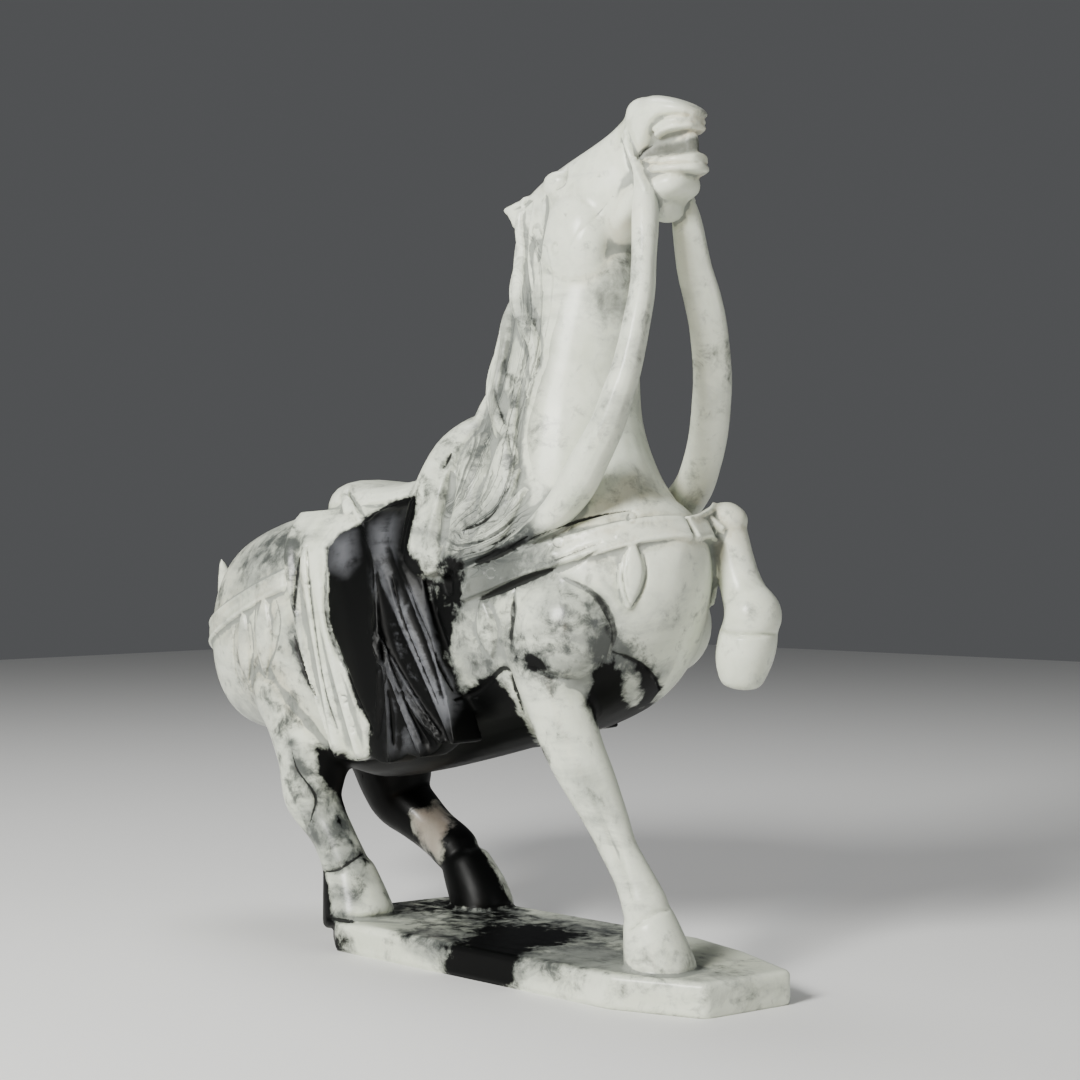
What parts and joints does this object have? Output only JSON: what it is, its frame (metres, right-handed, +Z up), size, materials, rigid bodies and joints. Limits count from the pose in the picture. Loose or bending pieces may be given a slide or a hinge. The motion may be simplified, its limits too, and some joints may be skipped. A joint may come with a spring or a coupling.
{
  "type": "jade horse carving",
  "caption": "Polished stone carving of a saddled horse with head thrown up and one foreleg raised, reins free of the neck, cut in one piece with its plinth.",
  "frame": {"origin": "centre of the plinth's flat underside", "axes": "+X the way the horse faces, +Y its left side, +Z up"},
  "size_m": [0.3255, 0.1055, 0.344],
  "materials": {
    "jade": "polished white and grey-green jade with black veins and patches"
  },
  "bodies": {
    "root": {"horse_carving": "jade"}
  },
  "joints": []
}
